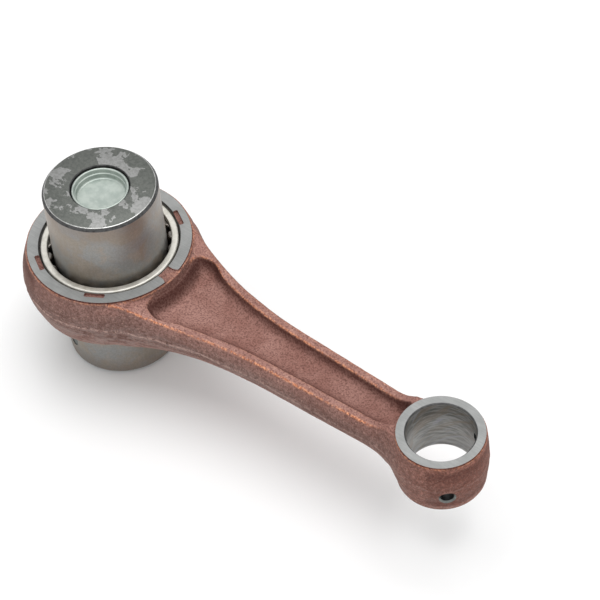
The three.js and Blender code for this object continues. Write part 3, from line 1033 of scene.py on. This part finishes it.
def cage_ring(material):
    """The cage before its windows are cut, with bars recessed on the inside."""
    inner = [
        (CAGE_INNER_R, CAGE_HALF_WIDTH), (CAGE_INNER_R, CAGE_RECESS_END),
        (CAGE_RECESS_R, CAGE_RECESS_HALF), (CAGE_RECESS_R, -CAGE_RECESS_HALF),
        (CAGE_INNER_R, -CAGE_RECESS_END), (CAGE_INNER_R, -CAGE_HALF_WIDTH),
    ]
    outer = [(CAGE_OUTER_R, -CAGE_HALF_WIDTH), (CAGE_OUTER_R, CAGE_HALF_WIDTH)]
    radii = [CAGE_INNER_ROUND, 0, 0, 0, 0, CAGE_INNER_ROUND, CAGE_OUTER_ROUND, CAGE_OUTER_ROUND]
    profile = rounded(inner + outer, radii)
    return revolve("needle_cage_body", profile, CAGE_SEGMENTS, [material], closed=True)


def window_outline(z, seed):
    """The window's half-widths (inner, outer) at one height: staked nibs make it narrower."""
    to_end = WINDOW_HALF_LENGTH - abs(z)
    corner = WINDOW_CORNER_R
    round_off = corner - math.sqrt(max(0, corner**2 - max(0, corner - to_end) ** 2))
    nib = 0.0
    if abs(abs(z) - NIB_Z) <= NIB_HALF_LENGTH:
        nib = NIB_STEP * (0.75 + 0.25 * math.sin(7 * z + seed))
    return WINDOW_INNER_HALF - round_off, WINDOW_OUTER_HALF - round_off - nib


def window_cutter(angle, seed, material):
    """A closed loft along Z of the window's section between bars."""
    end = WINDOW_HALF_LENGTH
    edge = NIB_Z + NIB_HALF_LENGTH
    start = NIB_Z - NIB_HALF_LENGTH
    half = [0, start - NIB_RAMP_IN, start, start + 0.15]
    half += [NIB_Z, edge - 0.15, edge, edge + NIB_RAMP_OUT]
    half += [end - WINDOW_CORNER_R, end - 0.2, end - 0.08, end]
    heights = [-z for z in half[:0:-1]] + half
    points = []
    for z in heights:
        inner, outer = window_outline(z, seed)
        wall = [
            (CAGE_INNER_R - 1, inner), (WINDOW_NECK_R, inner),
            (CAGE_OUTER_R - 0.15, outer), (CAGE_OUTER_R + 1, outer + 0.05),
        ]
        points += [(x, -y, z) for x, y in wall]
        points += [(x, y, z) for x, y in wall[::-1]]
    count = 2 * len(wall)
    faces = [list(range(count))[::-1], [len(points) - count + i for i in range(count)]]
    for level in range(len(heights) - 1):
        below, above = level * count, (level + 1) * count
        for i in range(count):
            j = (i + 1) % count
            faces.append([below + i, below + j, above + j, above + i])
    return turn_mesh(make_object("cutter", points, faces, [material]), "Z", angle)


def needle_cage():
    """A one-piece cage with a window for each roller."""
    silver = plated_cage()
    cage = cage_ring(silver)
    for i in range(len(ROLLERS)):
        cut(cage, [window_cutter(360 * i / len(ROLLERS), NIB_SEED_STEP * i, silver)])
    shade(cage, 35)
    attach(cage, "bearing_cage")
    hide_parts("needle_cage")


ROLLER_END_ROUND = 0.75
ROLLER_END_STEPS = 6


def rollers():
    """Each roller has flat ends with well rounded edges."""
    materials = [roller_side(), roller_end()]
    half, radius = ROLLER_HALF_LENGTH, ROLLER_R
    outline = [(0, -half), (radius, -half), (radius, half), (0, half)]
    profile = rounded(outline, [0, ROLLER_END_ROUND, ROLLER_END_ROUND, 0], ROLLER_END_STEPS)
    end = [1] * (ROLLER_END_STEPS + 1)
    slots = end + [0] + end
    for name in ROLLERS:
        low, high = box_mm(name)
        centre = (low + high) / 2
        roller = revolve(name + "_body", profile, SMALL_ROUND_SEGMENTS, materials, slots)
        shift_mesh(roller, centre.x, centre.y, centre.z)
        shade(roller, 50)
        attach(roller, name)
        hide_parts(name)


# ---------- crank pin ----------
PIN_CHAMFER = 0.95
CHAMFER_SLOPE = 0.7  # the chamfer's width over its height, and the bright line's the other way
BRIGHT_EDGE = 0.22  # polished line between the chamfer and the end face
GALLERY_R = 9
GALLERY_CHAMFER = 0.25
FEED_HOLE_R = 1.6
FEED_FLARE_R = 2.0
FEED_ANGLE = -23
INLET_HOLE_R = 2.0
INLET_FLARE_R = 2.9
INLET_ANGLE = -112
INLET_Z = -25.3


def crank_pin():
    """A hollow pin with chamfered ends, a feed hole at mid-length and an oil inlet near one end."""
    side, end = pin_side(), pin_end()
    dark = turned_chamfer("pin_chamfer", *SHADED_CHAMFER_GREYS)
    black, lip = hole_wall(), hole_lip()
    top = PIN_HALF_LENGTH
    chamfered_r = PIN_R - PIN_CHAMFER * CHAMFER_SLOPE
    upper = [
        (PIN_R, top - PIN_CHAMFER), (chamfered_r, top - BRIGHT_EDGE * CHAMFER_SLOPE),
        (chamfered_r - BRIGHT_EDGE, top), (GALLERY_R + GALLERY_CHAMFER, top),
        (GALLERY_R, top - GALLERY_CHAMFER),
    ]
    profile = upper + [(r, -z) for r, z in upper[::-1]]
    slots = [2, 3, 1, 2, 2, 2, 1, 3, 2, 0]
    materials = [side, end, dark, bright_edge()]
    pin = revolve("crank_pin_body", profile, PIN_SEGMENTS, materials, slots, closed=True)
    inner = GALLERY_R - DRILL_PAST
    feed = radial_drill(
        FEED_HOLE_R, FEED_FLARE_R, PIN_R, inner, FEED_ANGLE, 0, [black, lip]
    )
    inlet = radial_drill(
        INLET_HOLE_R, INLET_FLARE_R, PIN_R, inner, INLET_ANGLE, INLET_Z, [black, lip]
    )
    cut(pin, [feed, inlet])
    shade(pin, 35)
    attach(pin, "crank_pin")
    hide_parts("crank_pin")


PLUG_WALL = 0.8
PLUG_STEP = 0.35  # inwards, half-way down the wall
PLUG_STEP_BELOW_RIM = 1.5
PLUG_DEPTH = 3.4
PLUG_BOTTOM_ROUND = 0.9
PLUG_RIM_ROUND = 0.38
PLUG_INSIDE_ROUND = 0.6
PLUG_STEP_ROUNDS = (0.08, 0.1)
PLUG_STEP_LEAN = 0.2  # how far the step slopes down inwards
PLUG_FLOOR_DOME = 0.15


def oil_plug(node, side, material):
    """A pressed cup with a rounded rim and a soft inside corner, open side outwards."""
    rim, bottom = plug_high.z, plug_low.z
    inner, step_z, floor_z = PLUG_R - PLUG_WALL, rim - PLUG_STEP_BELOW_RIM, rim - PLUG_DEPTH
    outline = [
        (0, bottom), (PLUG_R, bottom), (PLUG_R, rim), (inner, rim), (inner, step_z),
        (inner - PLUG_STEP, step_z - PLUG_STEP_LEAN), (inner - PLUG_STEP, floor_z),
        (0, floor_z + PLUG_FLOOR_DOME),
    ]
    radii = [0, PLUG_BOTTOM_ROUND, PLUG_RIM_ROUND, PLUG_RIM_ROUND]
    radii += [*PLUG_STEP_ROUNDS, PLUG_INSIDE_ROUND, 0]
    plug = revolve(node + "_body", rounded(outline, radii), PLUG_SEGMENTS, [material])
    if side < 0:
        turn_mesh(plug, "X", 180)
    shade(plug, 40)
    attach(plug, "crank_pin")
    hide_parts(node)


# ---------- studio ----------
VIEW_AZIMUTH = 42.24
VIEW_ELEVATION = 49.23
VIEW_ROLL = -5.0
VIEW_TARGET = Vector((0.0568, 0.0213, 0))
VIEW_DISTANCE = 0.6763
VIEW_LENS = 134.4
SENSOR_WIDTH = 36
NEAREST = 0.01
FLOOR_REACH = 4000  # far past the picture, so that no edge shows
SKY_STRENGTH = 0.85
LIGHT_PLACE = Vector((0.02, 0.1, 1.1))
LIGHT_AIM = Vector((0.05, 0, 0))
LIGHT_SIZE = 0.9
LIGHT_POWER = 6.5


def camera():
    """Stands where the photo's camera stands for the rod."""
    data = bpy.data.cameras.new("camera")
    data.lens = VIEW_LENS
    data.sensor_width = SENSOR_WIDTH
    data.clip_start = NEAREST
    made = bpy.data.objects.new("camera", data)
    bpy.context.scene.collection.objects.link(made)
    azimuth, elevation = math.radians(VIEW_AZIMUTH), math.radians(VIEW_ELEVATION)
    flat = math.cos(elevation)
    back = Vector((math.sin(azimuth) * flat, -math.cos(azimuth) * flat, math.sin(elevation)))
    made.location = VIEW_TARGET + back * VIEW_DISTANCE
    made.rotation_mode = "QUATERNION"
    facing = (-back).to_track_quat("-Z", "Y")
    made.rotation_quaternion = facing @ Quaternion((0, 0, 1), math.radians(VIEW_ROLL))
    bpy.context.scene.camera = made


def key_light():
    """One large soft light overhead that points at the part."""
    data = bpy.data.lights.new("key", "AREA")
    data.shape = "SQUARE"
    data.size = LIGHT_SIZE
    data.energy = LIGHT_POWER
    made = bpy.data.objects.new("key", data)
    bpy.context.scene.collection.objects.link(made)
    made.location = LIGHT_PLACE
    made.rotation_mode = "QUATERNION"
    made.rotation_quaternion = (LIGHT_AIM - LIGHT_PLACE).to_track_quat("-Z", "Y")
    made.visible_camera = False


def studio():
    """A white floor under the pin, an even white sky and the key light."""
    corners = [(-1, -1), (1, -1), (1, 1), (-1, 1)]
    points = [(x * FLOOR_REACH, y * FLOOR_REACH, -PIN_HALF_LENGTH) for x, y in corners]
    floor = make_object("floor", points, [[0, 1, 2, 3]], [paper_floor()])
    world = bpy.data.worlds.new("studio")
    world.use_nodes = True
    background = world.node_tree.nodes["Background"]
    background.inputs["Color"].default_value = (1, 1, 1, 1)
    background.inputs["Strength"].default_value = SKY_STRENGTH
    bpy.context.scene.world = world
    key_light()
    bpy.context.scene.view_settings.view_transform = "Standard"


camera()
studio()
connecting_rod()
needle_cage()
rollers()
crank_pin()
zinc = zinc_cup()
oil_plug("oil_plug_upper", 1, zinc)
oil_plug("oil_plug_lower", -1, zinc)
